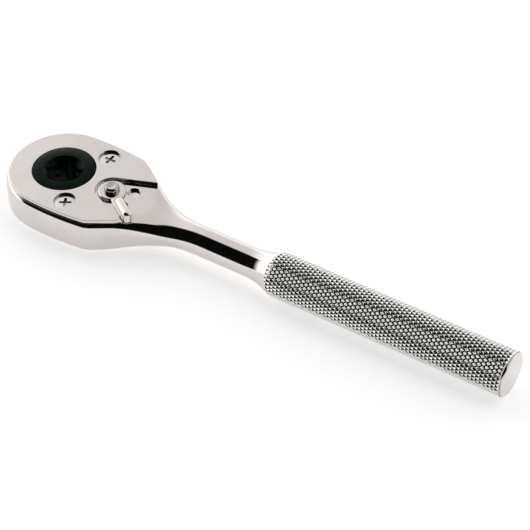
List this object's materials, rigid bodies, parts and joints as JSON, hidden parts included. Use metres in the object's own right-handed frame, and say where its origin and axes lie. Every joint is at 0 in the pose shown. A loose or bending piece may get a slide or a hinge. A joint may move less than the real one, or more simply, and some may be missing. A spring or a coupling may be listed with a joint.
{
  "type": "ratchet wrench",
  "caption": "Reversible pear-head ratchet wrench with a female square drive, thumb lever, screwed cover plate and knurled round grip.",
  "frame": {"origin": "on the drive axis, at the height of the handle's centre line", "axes": "+X along the handle to the end of the grip, +Z along the drive axis towards the cover plate and lever"},
  "size_m": [0.1855, 0.0396, 0.0161],
  "materials": {
    "chrome_forging": "polished nickel-chrome plate",
    "chrome_plate": "polished nickel-chrome plate",
    "screw_steel": "bright plated",
    "black_oxide": "black oxide, satin",
    "plain_steel": "ground",
    "hardened_steel": "hardened and oiled",
    "spring_steel": "drawn wire",
    "chrome_shaft": "polished",
    "chrome_lever": "polished",
    "bearing_steel": "polished ball"
  },
  "bodies": {
    "handle": {"forged_body": "chrome_forging", "cover_plate": "chrome_plate", "cover_screws": "screw_steel", "lower_thrust_washer": "plain_steel", "wave_washer": "plain_steel"},
    "gear": {"drive_gear": "black_oxide"},
    "selector": {"reversing_lever": "chrome_lever", "selector_shaft": "chrome_shaft", "shaft_clip": "spring_steel", "pawl_spring": "spring_steel", "detent_spring": "spring_steel"},
    "pawl": {"pawl": "hardened_steel"},
    "plunger": {"pawl_plunger": "plain_steel"},
    "ball": {"detent_ball": "bearing_steel"}
  },
  "joints": [
    {"name": "drive_spin", "type": "hinge", "parent": "handle", "child": "gear", "pos_m": [0, 0, 0], "axis": [0, 0, 1], "continuous": true},
    {"name": "lever_throw", "type": "hinge", "parent": "handle", "child": "selector", "pos_m": [0.0193, 0, 0], "axis": [0, 0, 1], "range_deg": [0, 70]},
    {"name": "pawl_rock", "type": "hinge", "parent": "handle", "child": "pawl", "pos_m": [0.0193, 0, 0], "axis": [0, 0, 1], "range_deg": [-6, 0]},
    {"name": "plunger_slide", "type": "slide", "parent": "selector", "child": "plunger", "axis": [0.8192, -0.5736, 0], "range_m": [0, 0.0003], "stiffness_N_per_m": 400, "springref_m": -0.0005, "deforming": ["pawl_spring"]},
    {"name": "ball_slide", "type": "slide", "parent": "selector", "child": "ball", "axis": [0, 0, -1], "range_m": [0, 0.0006], "stiffness_N_per_m": 200, "deforming": ["detent_spring"]}
  ],
  "couplings": [
    {"joint": "pawl_rock", "follows": "lever_throw", "ratio": -0.085714}
  ]
}
